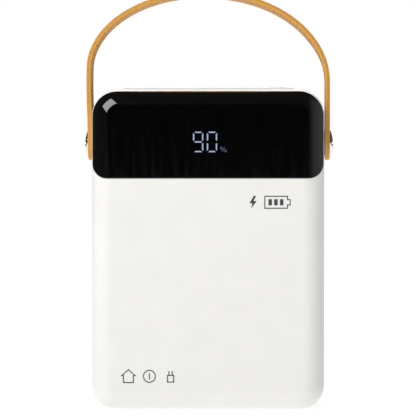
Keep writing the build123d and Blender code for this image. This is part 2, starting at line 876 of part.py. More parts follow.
# ---- Assembly ----
def pieces():
    """Every piece by node name."""
    outer = case_block(0)
    digits = digit_lenses()
    percent = percent_lens()
    lenses = digits.solids() + percent.solids()
    nodes = {
        "housing": housing(outer),
        "rear_cover": rear_cover(outer),
        "cover_screws": cover_screws(),
        "display_panel": display_panel(outer, lenses),
        "digit_lenses": digits,
        "percent_lens": percent,
        "panel_tape": panel_tape(),
        "display_module": display_module(),
        "display_pins": Compound(display_pins()),
        "main_board": main_board(),
        "board_screws": board_screws(),
        "inductors": inductors(),
        "capacitors": capacitors(),
        "controller_chips": controller_chips(),
        "chip_components": chip_components(),
        "tactile_switch": tactile_switch(),
        "switch_plunger": switch_plunger(),
        "power_button": power_button(),
        "port_plate": port_plate(),
        "cell_pads": cell_pads(),
        "bottom_pad": bottom_pad(),
        "cell_retainer": cell_retainer(),
        "positive_tabs": tab_row(tab_x),
        "negative_tabs": tab_row(-tab_x),
        "positive_bus": bus(tab_x),
        "negative_bus": bus(-tab_x),
        "battery_wire_positive": battery_wire(tab_x),
        "battery_wire_negative": battery_wire(-tab_x),
        "handle_strap": handle_strap(),
    }
    for side in usb_a_x:
        nodes[f"usb_a_shell_{side}"], nodes[f"usb_a_tongue_{side}"] = usb_a(side)
    nodes["usb_c_shell"], nodes["usb_c_tongue"] = usb_c()
    nodes["micro_usb_shell"], nodes["micro_usb_tongue"] = micro_usb()
    for number, middle in enumerate(cell_middles, start=1):
        nodes[f"cell_{number}"] = cell(middle)
    for name, make in (("insert", handle_insert), ("screw", handle_screw), ("washer", handle_washer)):
        piece = make()
        nodes[f"handle_{name}_right"] = piece
        nodes[f"handle_{name}_left"] = mirrored(piece)
    return nodes


os.makedirs("parts", exist_ok=True)
for name, shape in pieces().items():
    export_step(shape, f"parts/{name}.step")
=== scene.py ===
import bisect
import json
import math

import bmesh
import bpy
from mathutils import Matrix, Vector


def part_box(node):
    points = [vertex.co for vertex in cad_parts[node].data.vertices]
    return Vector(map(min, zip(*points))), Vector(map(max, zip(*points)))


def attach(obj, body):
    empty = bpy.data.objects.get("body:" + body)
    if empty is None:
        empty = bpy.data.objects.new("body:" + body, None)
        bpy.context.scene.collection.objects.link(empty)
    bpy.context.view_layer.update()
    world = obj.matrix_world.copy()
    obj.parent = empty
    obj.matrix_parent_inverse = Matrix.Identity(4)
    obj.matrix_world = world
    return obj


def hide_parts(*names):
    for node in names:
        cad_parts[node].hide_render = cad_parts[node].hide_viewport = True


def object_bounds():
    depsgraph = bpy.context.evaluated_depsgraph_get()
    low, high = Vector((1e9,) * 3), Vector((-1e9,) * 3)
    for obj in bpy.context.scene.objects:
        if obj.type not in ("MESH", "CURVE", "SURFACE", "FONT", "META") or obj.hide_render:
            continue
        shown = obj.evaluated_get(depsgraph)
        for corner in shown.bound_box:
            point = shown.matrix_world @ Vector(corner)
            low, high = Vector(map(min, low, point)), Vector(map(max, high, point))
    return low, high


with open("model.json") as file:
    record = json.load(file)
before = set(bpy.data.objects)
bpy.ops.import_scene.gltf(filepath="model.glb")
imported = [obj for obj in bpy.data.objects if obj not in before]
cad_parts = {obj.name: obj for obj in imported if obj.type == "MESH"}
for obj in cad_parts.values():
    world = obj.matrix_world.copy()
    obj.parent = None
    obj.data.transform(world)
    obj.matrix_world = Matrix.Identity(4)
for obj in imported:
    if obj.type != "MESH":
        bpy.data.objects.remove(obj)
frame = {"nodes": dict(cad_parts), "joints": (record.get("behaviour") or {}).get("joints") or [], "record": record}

# The power bank stands on a pale floor with its display facing -Y. Geometry is in metres, and
# MM turns a size in millimetres into metres. Texture scales, bump depths and the outlines of the
# pictograms are in millimetres.

MM = 0.001
cad_low, cad_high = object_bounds()
scene = bpy.context.scene


# ---- Node helpers ----
# The Mix node repeats its socket names for each kind of data, so its sockets go by number.
mix_factor = 0
mix_floats = (2, 3)
mix_colours = (6, 7)
mix_float_result, mix_colour_result = 0, 2

mottle_stops = (0.35, 0.65)


class Finish:
    """One procedural material: a principled shader with textures in object millimetres."""

    def __init__(self, name, colour, roughness, metallic=0.0):
        self.material = bpy.data.materials.new(name)
        self.material.use_nodes = True
        self.tree = self.material.node_tree
        self.shader = self.tree.nodes["Principled BSDF"]
        self.set("Base Color", (*colour, 1.0))
        self.set("Roughness", roughness)
        self.set("Metallic", metallic)
        self.place = None

    def set(self, socket, value):
        self.shader.inputs[socket].default_value = value

    def link(self, source, target):
        self.tree.links.new(source, target)

    def node(self, kind, **inputs):
        """Adds a node and sets its inputs; a socket given as a value is linked."""
        made = self.tree.nodes.new(kind)
        for name, value in inputs.items():
            target = made.inputs[name.replace("_", " ")]
            if isinstance(value, bpy.types.NodeSocket):
                self.link(value, target)
            else:
                target.default_value = value
        return made

    def millimetres(self, stretch=(1, 1, 1)):
        """Object coordinates in millimetres, stretched along each axis."""
        if self.place is None:
            self.place = self.node("ShaderNodeTexCoord").outputs["Object"]
        mapping = self.node("ShaderNodeMapping", Vector=self.place)
        mapping.inputs["Scale"].default_value = [factor / MM for factor in stretch]
        return mapping.outputs["Vector"]

    def noise(self, scale, detail=3.0, stretch=(1, 1, 1), where=None):
        """Fractal noise with this many cells per millimetre."""
        vector = where or self.millimetres(stretch)
        made = self.node("ShaderNodeTexNoise", Vector=vector, Scale=scale, Detail=detail)
        return made.outputs["Fac"]

    def cells(self, scale, where=None):
        """Voronoi distance with this many cells per millimetre."""
        vector = where or self.millimetres()
        made = self.node("ShaderNodeTexVoronoi", Vector=vector, Scale=scale)
        return made.outputs["Distance"]

    def remap(self, value, low, high, start=0.3, end=0.7):
        """Maps start..end of a value onto low..high."""
        made = self.node("ShaderNodeMapRange", Value=value)
        made.inputs["From Min"].default_value = start
        made.inputs["From Max"].default_value = end
        made.inputs["To Min"].default_value = low
        made.inputs["To Max"].default_value = high
        return made.outputs["Result"]

    def ramp(self, value, *stops):
        """A colour ramp through (position, colour) stops."""
        made = self.node("ShaderNodeValToRGB", Fac=value)
        elements = made.color_ramp.elements
        while len(elements) < len(stops):
            elements.new(0.5)
        for element, (position, colour) in zip(elements, stops):
            element.position = position
            element.color = (*colour, 1.0)
        return made.outputs["Color"]

    def mixed(self, first, second, share):
        """Two colours, with this share of the second."""
        made = self.node("ShaderNodeMix")
        made.data_type = "RGBA"
        made.inputs[mix_factor].default_value = share
        for source, socket in zip((first, second), mix_colours):
            self.link(source, made.inputs[socket])
        return made.outputs[mix_colour_result]

    def colour(self, socket):
        self.link(socket, self.shader.inputs["Base Color"])

    def roughness(self, socket):
        self.link(socket, self.shader.inputs["Roughness"])

    def bump(self, *layers):
        """Stacks bump layers, each a height socket with its depth in millimetres."""
        normal = None
        for height, depth in layers:
            made = self.node("ShaderNodeBump", Height=height)
            made.inputs["Strength"].default_value = 1.0
            made.inputs["Distance"].default_value = depth * MM
            if normal is not None:
                self.link(normal, made.inputs["Normal"])
            normal = made.outputs["Normal"]
        self.link(normal, self.shader.inputs["Normal"])


def tinted(colour, *factors):
    """A colour with each channel multiplied by its factor."""
    return [channel * factor for channel, factor in zip(colour, factors)]


def mottled(finish, colour, spread, scale):
    """Varies a colour gently, lighter and darker by spread."""
    darker = [channel * (1 - spread) for channel in colour]
    lighter = [min(1.0, channel * (1 + spread)) for channel in colour]
    finish.colour(finish.ramp(finish.noise(scale), *zip(mottle_stops, (darker, lighter))))


# ---- Finishes ----
def moulded_plastic(name, colour, roughness, grain):
    """Fine spark-eroded plastic with a faint flow mottle."""
    finish = Finish(name, colour, roughness)
    mottled(finish, colour, spread=0.012, scale=0.08)
    texture = finish.noise(6.0, detail=2.0)
    finish.roughness(finish.remap(finish.noise(0.5), roughness - 0.04, roughness + 0.05))
    finish.bump((texture, grain))
    return finish.material


def piano_black(name, colour):
    """Polished black acrylic with hairline wipe marks."""
    finish = Finish(name, colour, 0.05)
    finish.set("IOR", 1.7)
    mottled(finish, colour, spread=0.15, scale=0.05)
    wipes = finish.noise(0.9, detail=4.0, stretch=(1.0, 1.0, 0.12))
    finish.roughness(finish.remap(wipes, 0.035, 0.085, start=0.35, end=0.75))
    finish.bump((finish.noise(0.16, detail=1.0), 0.0006))
    return finish.material


def lit_plastic(name, colour, glow):
    """Diffuser plastic lit from behind, a little dimmer in patches."""
    finish = Finish(name, colour, 0.3)
    dim = tinted(glow, 0.82, 0.82, 0.82)
    patches = finish.ramp(finish.noise(0.7, detail=1.0), (0.35, dim), (0.6, glow))
    finish.link(patches, finish.shader.inputs["Emission Color"])
    finish.set("Emission Strength", 1.0)
    finish.roughness(finish.remap(finish.noise(3.0), 0.25, 0.4))
    return finish.material


def brushed(name, colour, roughness, stretch=(1, 1, 0.05)):
    """Metal with fine lines drawn along the axis where stretch is smallest."""
    finish = Finish(name, colour, roughness, metallic=1.0)
    lines = finish.noise(9.0, stretch=stretch)
    mottled(finish, colour, spread=0.06, scale=0.7)
    finish.roughness(finish.remap(lines, roughness - 0.07, roughness + 0.1))
    finish.bump((lines, 0.003))
    return finish.material


def polished_chrome(name, colour):
    """Chrome with faint handling marks."""
    finish = Finish(name, colour, 0.06, metallic=1.0)
    marks = finish.noise(3.0, detail=5.0)
    mottled(finish, colour, spread=0.03, scale=0.4)
    finish.roughness(finish.remap(marks, 0.03, 0.12, start=0.4, end=0.75))
    finish.bump((finish.noise(1.2, detail=2.0), 0.002))
    return finish.material


def silicone(name, colour):
    """Soft matte insulation or foam with a pitted skin."""
    finish = Finish(name, colour, 0.6)
    mottled(finish, colour, spread=0.1, scale=0.5)
    finish.roughness(finish.remap(finish.noise(2.0), 0.5, 0.72))
    finish.bump((finish.cells(3.0), 0.02))
    return finish.material


def circuit_board(name, colour):
    """Solder mask with copper tracks showing through it."""
    finish = Finish(name, colour, 0.32)
    tracks = finish.node(
        "ShaderNodeTexBrick", Vector=finish.millimetres(), Scale=0.35, Mortar_Size=0.06
    )
    paler = [channel * 1.7 + 0.01 for channel in colour]
    finish.colour(finish.ramp(tracks.outputs["Fac"], (0.2, colour), (0.8, paler)))
    finish.roughness(finish.remap(finish.noise(1.5), 0.25, 0.42))
    finish.bump((tracks.outputs["Fac"], 0.03))
    return finish.material


def foil_pouch(name, colour):
    """Laminated foil with soft creases."""
    finish = Finish(name, colour, 0.35, metallic=0.85)
    creases = finish.noise(0.25, detail=5.0)
    mottled(finish, colour, spread=0.08, scale=0.3)
    finish.roughness(finish.remap(creases, 0.26, 0.5))
    finish.bump((creases, 0.25))
    return finish.material


def leather_grain(name, colour):
    """Smooth tanned grain side: slow colour drift, a fine speckle and pores."""
    finish = Finish(name, colour, 0.42)
    where = finish.node("ShaderNodeUVMap").outputs["UV"]
    drift = finish.noise(0.06, where=where)
    fine = finish.noise(1.6, detail=6.0, where=where)
    deep = tinted(colour, 0.78, 0.68, 0.55)
    pale = tinted(colour, 1.14, 1.18, 1.25)
    slow = finish.ramp(drift, (0.3, deep), (0.5, colour), (0.72, pale))
    speckle = finish.ramp(fine, (0.3, deep), (0.6, colour))
    finish.colour(finish.mixed(slow, speckle, share=0.35))
    pores = finish.cells(2.6, where=where)
    finish.roughness(finish.remap(fine, 0.34, 0.55))
    finish.set("Sheen Weight", 0.12)
    finish.set("Sheen Roughness", 0.4)
    finish.bump((finish.noise(0.35, where=where), 0.05), (pores, 0.035))
    return finish.material


def leather_flesh(name, colour):
    """The brushed flesh side of the strap, with a short nap."""
    finish = Finish(name, colour, 0.8)
    where = finish.node("ShaderNodeUVMap").outputs["UV"]
    nap = finish.noise(5.0, detail=6.0, where=where)
    deep = tinted(colour, 0.82, 0.82, 0.82)
    finish.colour(finish.ramp(nap, (0.32, deep), (0.66, colour)))
    finish.roughness(finish.remap(nap, 0.72, 0.92))
    finish.set("Sheen Weight", 0.1)
    finish.set("Sheen Roughness", 0.5)
    finish.bump((nap, 0.08))
    return finish.material


def leather_edge(name, colour):
    """The cut edge, layered lengthwise: plain at both skins, pale and orange between them."""
    finish = Finish(name, colour, 0.38)
    where = finish.node("ShaderNodeUVMap").outputs["UV"]
    split = finish.node("ShaderNodeSeparateXYZ", Vector=where)
    across = finish.remap(split.outputs["Y"], 0.0, 1.0, start=0.0, end=strap_thickness / MM)
    core = tinted(colour, 0.92, 0.72, 0.45)
    pale = tinted(colour, 1.1, 1.16, 1.3)
    layers = finish.ramp(across, (0.05, colour), (0.3, pale), (0.6, core), (0.95, colour))
    stretched = finish.node("ShaderNodeMapping", Vector=where, Scale=(0.35, 6.0, 1.0))
    fibres = finish.noise(1.0, detail=4.0, where=stretched.outputs["Vector"])
    streaks = finish.ramp(fibres, (0.3, core), (0.65, pale))
    finish.colour(finish.mixed(layers, streaks, share=0.14))
    finish.roughness(finish.remap(fibres, 0.3, 0.5))
    finish.bump((fibres, 0.02))
    return finish.material


strap_low, strap_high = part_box("handle_strap")
strap_thickness = 2.1 * MM
tan = (0.64, 0.325, 0.048)

# After the colour come roughness and grain for plastic, roughness and sometimes stretch for
# brushed metal, and the glow for lit plastic.
slot_looks = {
    "case_white": (moulded_plastic, (0.86, 0.852, 0.82), 0.4, 0.0035),
    "panel_black": (piano_black, (0.0006, 0.0006, 0.0007)),
    "lit_bars": (lit_plastic, (0.03, 0.035, 0.05), (0.35, 0.42, 0.63)),
    "lit_percent": (lit_plastic, (0.02, 0.022, 0.03), (0.12, 0.155, 0.25)),
    "chrome": (polished_chrome, (0.82, 0.82, 0.83)),
    "brass": (brushed, (0.78, 0.58, 0.25), 0.25),
    "nylon": (moulded_plastic, (0.72, 0.70, 0.64), 0.45, 0.006),
    "screw_steel": (brushed, (0.16, 0.16, 0.165), 0.34, (0.3, 1, 1)),
    "socket_steel": (brushed, (0.72, 0.72, 0.73), 0.24),
    "socket_white": (moulded_plastic, (0.82, 0.82, 0.80), 0.3, 0.002),
    "socket_black": (moulded_plastic, (0.02, 0.02, 0.02), 0.3, 0.002),
    "plate_grey": (moulded_plastic, (0.74, 0.74, 0.72), 0.36, 0.005),
    "board_green": (circuit_board, (0.01, 0.11, 0.045)),
    "chip_black": (moulded_plastic, (0.025, 0.025, 0.027), 0.5, 0.02),
    "can_metal": (brushed, (0.75, 0.75, 0.76), 0.22, (1, 0.05, 1)),
    "ceramic_tan": (moulded_plastic, (0.45, 0.33, 0.2), 0.4, 0.02),
    "tape_black": (silicone, (0.03, 0.03, 0.03)),
    "led_white": (moulded_plastic, (0.8, 0.8, 0.8), 0.35, 0.01),
    "pouch_foil": (foil_pouch, (0.72, 0.73, 0.75)),
    "nickel": (brushed, (0.70, 0.68, 0.63), 0.3, (1, 0.05, 1)),
    "foam_dark": (silicone, (0.06, 0.06, 0.062)),
    "wire_red": (silicone, (0.5, 0.02, 0.02)),
    "wire_black": (silicone, (0.015, 0.015, 0.015)),
    "retainer_grey": (moulded_plastic, (0.3, 0.3, 0.31), 0.5, 0.02),
    "tan_leather": (leather_grain, tan),
}
slot_finish = {name: maker(name, *look) for name, (maker, *look) in slot_looks.items()}
strap_flesh = leather_flesh("strap_flesh", (0.6, 0.3, 0.075))
strap_edge = leather_edge("strap_edge", tan)
ink = moulded_plastic("print_ink", (0.045, 0.045, 0.05), 0.55, 0.001)
gold = brushed("contact_gold", (0.83, 0.62, 0.26), 0.2)


def dress_frame():
    """Gives every node of the frame its slot's finish."""
    for part in frame["record"]["subparts"]:
        mesh = frame["nodes"][part["node"]].data
        mesh.materials.clear()
        mesh.materials.append(slot_finish[part["material_slot"]])


def piece_from(mesh_maker, name, body, slot_name, *materials):
    """Makes an object from a bmesh, gives it materials and puts it on a body."""
    mesh = bpy.data.meshes.new(name)
    maker = bmesh.new()
    mesh_maker(maker)
    bmesh.ops.recalc_face_normals(maker, faces=maker.faces)
    maker.to_mesh(mesh)
    maker.free()
    for material in materials:
        mesh.materials.append(material)
    piece = bpy.data.objects.new(name, mesh)
    scene.collection.objects.link(piece)
    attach(piece, body)
    return piece


# ---- Carrying strap ----
pivot = Vector(next(j for j in frame["joints"] if j["name"] == "handle_swing")["pos_m"])
strap_half = (strap_high.y - strap_low.y) / 2
leg_x = strap_high.x - strap_thickness / 2  # middle of the leather on a straight leg
left_knee_z = 145.0 * MM
right_knee_z = 138.6 * MM
apex = Vector((-1.7 * MM, 0, strap_high.z - strap_thickness / 2))
left_bow = 0.5 * MM  # the left leg bows outwards by this much
bow_z = 138.0 * MM
bow_reach = 15.0 * MM
left_twist = 0.1 * MM  # how far the back edge of the arch hangs inwards on its left half
right_twist = 0.5 * MM  # and on its right half
twist_z = (145.0 * MM, 158.0 * MM)  # above the part that passes beside the casing when it swings
twist_x = (-25.0 * MM, 15.0 * MM)
bend_steps = 400
hole_radius = 2.58 * MM
rim_bevel = 0.5 * MM
crease_inset = 1.7 * MM
crease_depth = 0.12 * MM
crease_width = 0.3 * MM
flat_zone = 9.0 * MM  # from each foot up to where the strap may start to bend
arc_points = 28
leg_step = 1.6 * MM
leg_points = 60
bow_rise = (3.0 * MM, 15.0 * MM)  # height above the pivot over which the bow sets in
merge_distance = 1e-6
tangent_reach = 0.6 * MM
rim_inset = 0.9 * MM
core_inset = 2.6 * MM
cross_strips = 6
hole_points = 40
rim_angle = math.radians(60)
skin_slope = 0.75  # a face whose flat normal is steeper than this belongs to a skin
skin_share = 0.45  # of the thickness, from the middle to where the grain side begins
crease_spread = 0.7
dent_depth = 0.06 * MM  # pressed in round each screw
dent_radius = 6.2 * MM
dent_power = 6
grain_side, flesh_side, cut_edge = 0, 1, 2  # the strap's material slots


def smooth(value, start, end):
    """Rises smoothly from 0 at start to 1 at end."""
    t = min(1.0, max(0.0, (value - start) / (end - start)))
    return t * t * (3 - 2 * t)


def straight_leg(x, knee_z):
    """Evenly spaced points up one leg, from its pivot to just under its knee."""
    rise = (knee_z - pivot.z) / leg_points
    return [Vector((x, 0, pivot.z + rise * i)) for i in range(leg_points)]


def strap_line():
    """Middle of the leather from the left pivot over the arch, with its running lengths."""
    points = straight_leg(-leg_x, left_knee_z)
    for side, start in ((-1, math.pi), (1, math.pi / 2)):
        reach = leg_x + side * -apex.x
        for step in range(bend_steps // 2 + 1):
            angle = start - step / (bend_steps // 2) * math.pi / 2
            x = apex.x + reach * math.cos(angle)
            knee_z = left_knee_z if side < 0 else right_knee_z
            points.append(Vector((x, 0, knee_z + (apex.z - knee_z) * math.sin(angle))))
    points += reversed(straight_leg(leg_x, right_knee_z))
    kept = [points[0]]
    for point in points[1:]:
        if (point - kept[-1]).length > merge_distance:
            kept.append(point)
    for point in kept:
        if point.x < 0:
            bow = math.exp(-(((point.z - bow_z) / bow_reach) ** 2))
            point.x -= left_bow * bow * smooth(point.z - pivot.z, *bow_rise)
    lengths = [0.0]
    for first, second in zip(kept, kept[1:]):
        lengths.append(lengths[-1] + (second - first).length)
    return kept, lengths


line_points, line_lengths = strap_line()
strap_length = line_lengths[-1]


def point_at(distance):
    """Point of the middle line at a distance from the left pivot, straight on past its ends."""
    index = bisect.bisect_right(line_lengths, distance) - 1
    index = min(len(line_points) - 2, max(0, index))
    start, end = line_points[index], line_points[index + 1]
    return start + (end - start) * ((distance - line_lengths[index]) / (end - start).length)


def on_line(distance):
    """Point and outward normal of the middle line at a distance from the left pivot."""
    tangent = tangent_at(distance)
    return point_at(distance), Vector((-tangent.z, 0, tangent.x))


def tangent_at(distance):
    """Smoothed direction of the middle line."""
    distance = min(strap_length - tangent_reach, max(tangent_reach, distance))
    return (point_at(distance + tangent_reach) - point_at(distance - tangent_reach)).normalized()


def stadium(inset):
    """The flat strap's outline moved inwards, with x along the strap from the left pivot."""
    radius = strap_half - inset
    bent = strap_length - 2 * flat_zone
    steps = round(bent / leg_step)
    stations = [0.0, flat_zone / 2, flat_zone]
    stations += [flat_zone + bent * i / steps for i in range(1, steps)]
    stations += [strap_length - flat_zone, strap_length - flat_zone / 2, strap_length]
    outline = [Vector((s, radius, 0)) for s in stations]
    for i in range(1, arc_points):
        angle = math.pi / 2 - math.pi * i / arc_points
        x = strap_length + radius * math.cos(angle)
        outline.append(Vector((x, radius * math.sin(angle), 0)))
    outline += [Vector((s, -radius, 0)) for s in reversed(stations)]
    for i in range(1, arc_points):
        angle = -math.pi / 2 - math.pi * i / arc_points
        outline.append(Vector((radius * math.cos(angle), radius * math.sin(angle), 0)))
    return outline, len(stations)


def flat_strap(maker):
    """The strap cut flat: nested outlines near the rim, cross strips, a round hole at each foot."""
    creases = (crease_inset - crease_width, crease_inset, crease_inset + crease_width)
    loops = []
    for inset in (0, rim_inset, *creases, core_inset):
        outline, stations = stadium(inset)
        loops.append([maker.verts.new(point) for point in outline])
    count = len(loops[0])
    for outer, inner in zip(loops, loops[1:]):
        for i in range(count):
            j = (i + 1) % count
            maker.faces.new((outer[i], outer[j], inner[j], inner[i]))
    core = loops[-1]
    top = core[:stations]
    bottom = core[stations + arc_points - 1: 2 * stations + arc_points - 1]
    bottom = list(reversed(bottom))
    rows = []
    for upper, lower in zip(top[2:-2], bottom[2:-2]):
        middle = [upper.co.lerp(lower.co, k / cross_strips) for k in range(1, cross_strips)]
        rows.append([upper, *(maker.verts.new(co) for co in middle), lower])
    for first, second in zip(rows, rows[1:]):
        for k in range(cross_strips):
            maker.faces.new((first[k], second[k], second[k + 1], first[k + 1]))
    right_arc = core[stations: stations + arc_points - 1]
    left_arc = core[2 * stations + arc_points - 1:]
    left_rim = [*rows[0], bottom[1], bottom[0], *left_arc, top[0], top[1]]
    right_rim = [*reversed(rows[-1]), top[-2], top[-1], *right_arc, bottom[-1], bottom[-2]]
    for rim, centre in ((left_rim, 0.0), (right_rim, strap_length)):
        fill_round_hole(maker, rim, Vector((centre, 0, 0)))


def fill_round_hole(maker, rim, centre):
    """Fills between a closed rim and a round hole about centre."""
    hole = []
    for i in range(hole_points):
        angle = math.tau * i / hole_points
        offset = Vector((math.cos(angle), math.sin(angle), 0)) * hole_radius
        hole.append(maker.verts.new(centre + offset))
    edges = []
    for loop in (rim, hole):
        for first, second in zip(loop, loop[1:] + loop[:1]):
            edge = maker.edges.get((first, second))
            edges.append(edge or maker.edges.new((first, second)))
    bmesh.ops.triangle_fill(maker, use_beauty=True, use_dissolve=False, edges=edges)


def rim_distance(point):
    """How far a flat point lies inside the strap's outline."""
    beyond = max(0.0, -point.x, point.x - strap_length)
    return strap_half - math.hypot(beyond, point.y)


def make_strap(maker):
    """Cuts the strap flat, gives it thickness and rounded rims, and bends it over the arch."""
    flat_strap(maker)
    bmesh.ops.remove_doubles(maker, verts=maker.verts, dist=merge_distance)
    bmesh.ops.recalc_face_normals(maker, faces=maker.faces)
    lower_faces = list(maker.faces)
    raised = bmesh.ops.extrude_face_region(maker, geom=lower_faces, use_keep_orig=True)
    for item in raised["geom"]:
        if isinstance(item, bmesh.types.BMVert):
            item.co.z += strap_thickness
    bmesh.ops.recalc_face_normals(maker, faces=maker.faces)
    rims = []
    for edge in maker.edges:
        if len(edge.link_faces) == 2 and edge.calc_face_angle(0.0) > rim_angle:
            rims.append(edge)
    bmesh.ops.bevel(
        maker, geom=rims, offset=rim_bevel, segments=4, profile=0.5, affect="EDGES",
        clamp_overlap=True,
    )
    uv = maker.loops.layers.uv.new("UVMap")
    for face in maker.faces:
        is_skin = abs(face.normal.z) > skin_slope
        is_upper = face.calc_center_median().z > strap_thickness / 2
        face.material_index = cut_edge
        if is_skin:
            face.material_index = grain_side if is_upper else flesh_side
        face.smooth = True
        for loop in face.loops:
            co = loop.vert.co
            across = co.y if is_skin else co.z
            loop[uv].uv = (co.x / MM, across / MM)
    for vert in maker.verts:
        bend_vertex(vert)


def bend_vertex(vert):
    """Moves one vertex of the flat strap to its place on the arch."""
    flat = vert.co.copy()
    height = flat.z - strap_thickness / 2
    if height > strap_thickness * skin_share:
        from_crease = (rim_distance(flat) - crease_inset) / (crease_width * crease_spread)
        height -= crease_depth * math.exp(-(from_crease ** 2))
        foot = min(math.hypot(flat.x, flat.y), math.hypot(flat.x - strap_length, flat.y))
        height -= dent_depth * math.exp(-((foot / dent_radius) ** dent_power))
    point, normal = on_line(flat.x)
    twist = left_twist + (right_twist - left_twist) * smooth(point.x, *twist_x)
    twist *= smooth(point.z, *twist_z)
    height -= twist * (flat.y + strap_half) / (2 * strap_half)
    vert.co = point + normal * height + Vector((0, flat.y, 0))


# ---- Printed pictograms ----
ink_height = 0.03 * MM
ink_weight = 0.45  # millimetres, like the outlines below
sharpest_mitre = 0.4
ring_points = 40
ring_middle, ring_radius = 2.6, 2.5
battery_place = (24.0 * MM, 84.6 * MM)
battery_bar_x = (1.5, 3.9, 6.3)
battery_bar_width = 1.5
battery_bar_z = (1.2, 3.8)
bolt_place = (17.5 * MM, 84.4 * MM)
house_place = (-36.0 * MM, 11.5 * MM)
ring_place = (-27.0 * MM, 11.5 * MM)
plug_place = (-18.0 * MM, 11.5 * MM)
battery_icon = [(0, 0), (9.5, 0), (9.5, 1.4), (10.6, 1.4)]
battery_icon += [(10.6, 3.6), (9.5, 3.6), (9.5, 5), (0, 5)]
bolt_icon = [(1.9, 5.4), (0, 2.3), (1.3, 2.3), (0.7, 0), (3.1, 3.2), (1.7, 3.2), (2.9, 5.4)]
house_icon = [(0.7, 0), (4.9, 0), (4.9, 2.9), (5.6, 2.9), (2.8, 5.4), (0, 2.9), (0.7, 2.9)]
ring_angles = [math.tau * i / ring_points for i in range(ring_points)]
ring_icon = [
    (ring_middle + ring_radius * math.cos(angle), ring_middle + ring_radius * math.sin(angle))
    for angle in ring_angles
]
ring_mark = [(2.6, 1.3), (2.6, 3.9)]
plug_icon = [(1.2, 0.2), (3.8, 0.2), (3.8, 3.0), (1.2, 3.0)]
plug_pins = ([(1.8, 3.2), (1.8, 4.8)], [(3.2, 3.2), (3.2, 4.8)])


def face_point(place, x, z, lift):
    """A point on the front face, x and z millimetres from place, lifted towards the front."""
    return (place[0] + x * MM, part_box("housing")[0].y - lift, place[1] + z * MM)


def filled_icon(maker, outline, place):
    """A thin closed print filling an outline given in millimetres."""
    back = [maker.verts.new(face_point(place, x, z, 0)) for x, z in outline]
    front = [maker.verts.new(face_point(place, x, z, ink_height)) for x, z in outline]
    maker.faces.new(front)
    maker.faces.new(list(reversed(back)))
    for i in range(len(outline)):
        j = (i + 1) % len(outline)
        maker.faces.new((front[i], back[i], back[j], front[j]))


def line_icon(maker, points, place, closed=True):
    """A thin closed print of constant weight along a line with mitred corners."""
    count = len(points)
    stations = []
    for i, point in enumerate(points):
        before = Vector(points[i - 1] if closed or i > 0 else point)
        after = Vector(points[(i + 1) % count] if closed or i < count - 1 else point)
        here = Vector(point)
        runs = [run.normalized() for run in (here - before, after - here) if run.length > 0]
        sideways = sum((Vector((-run.y, run.x)) for run in runs), Vector((0, 0))).normalized()
        mitre = abs(sideways.dot(Vector((-runs[0].y, runs[0].x))))
        spread = ink_weight / 2 / max(sharpest_mitre, mitre)
        ends = [here + sideways * spread, here - sideways * spread]
        corners = [(ends[0], 0), (ends[0], ink_height), (ends[1], ink_height), (ends[1], 0)]
        stations.append([maker.verts.new(face_point(place, e.x, e.y, lift)) for e, lift in corners])
    last = count if closed else count - 1
    for i in range(last):
        first, second = stations[i], stations[(i + 1) % count]
        for k in range(4):
            n = (k + 1) % 4
            maker.faces.new((first[k], first[n], second[n], second[k]))
    if not closed:
        maker.faces.new(stations[0])
        maker.faces.new(list(reversed(stations[-1])))


def print_pictograms(maker):
    """A battery and a bolt below the black cap, and three small marks near the base."""
    line_icon(maker, battery_icon, battery_place)
    low, high = battery_bar_z
    for left in battery_bar_x:
        right = left + battery_bar_width
        filled_icon(maker, [(left, low), (right, low), (right, high), (left, high)], battery_place)
    filled_icon(maker, bolt_icon, bolt_place)
    line_icon(maker, house_icon, house_place)
    line_icon(maker, ring_icon, ring_place)
    line_icon(maker, ring_mark, ring_place, closed=False)
    line_icon(maker, plug_icon, plug_place)
    for pin in plug_pins:
        line_icon(maker, pin, plug_place, closed=False)


# ---- USB contacts ----
strip_depth = 0.08 * MM
strip_sink = strip_depth / 4  # so that no strip shares a plane with its tongue
tip_points = 8
usb_a_strips = (4, 2.5 * MM, 1.1 * MM, 7.5 * MM)  # number, pitch, width and length
usb_c_strips = (12, 0.5 * MM, 0.26 * MM, 3.6 * MM)
micro_strips = (5, 0.65 * MM, 0.36 * MM, 2.4 * MM)
usb_a_margin, usb_c_margin, micro_margin = 0.8 * MM, 0.4 * MM, 0.3 * MM  # under the tongue's top
usb_a_face = 2.8 * MM  # from the shell's near side to the tongue's face
usb_c_half_tongue = 0.35 * MM


def contact_strips(maker, middle_x, top_z, face_y, outwards, count, pitch, width, length):
    """Gold strips with rounded tips, laid on one face of a socket's tongue."""
    half = width / 2
    outline = [(-half, -length), (half, -length), (half, -half)]
    for i in range(1, tip_points):
        angle = math.pi * i / tip_points
        outline.append((half * math.cos(angle), half * math.sin(angle) - half))
    outline.append((-half, -half))
    for number in range(count):
        x0 = middle_x + (number - (count - 1) / 2) * pitch
        rings = []
        for y in (face_y - outwards * strip_sink, face_y + outwards * strip_depth):
            rings.append([maker.verts.new((x0 + x, y, top_z + z)) for x, z in outline])
        low_ring, high_ring = rings
        maker.faces.new(high_ring)
        maker.faces.new(list(reversed(low_ring)))
        for i in range(len(outline)):
            j = (i + 1) % len(outline)
            maker.faces.new((high_ring[i], low_ring[i], low_ring[j], high_ring[j]))


def tongue_middle(name):
    """Middle in x and the top of a socket's tongue."""
    low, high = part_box(name)
    return (low.x + high.x) / 2, high.z


def usb_a_contacts(maker):
    """Four wide strips on the open side of both USB-A tongues."""
    face_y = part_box("usb_a_shell_left")[0].y + usb_a_face
    for side in ("left", "right"):
        x, top = tongue_middle(f"usb_a_tongue_{side}")
        contact_strips(maker, x, top - usb_a_margin, face_y, 1, *usb_a_strips)


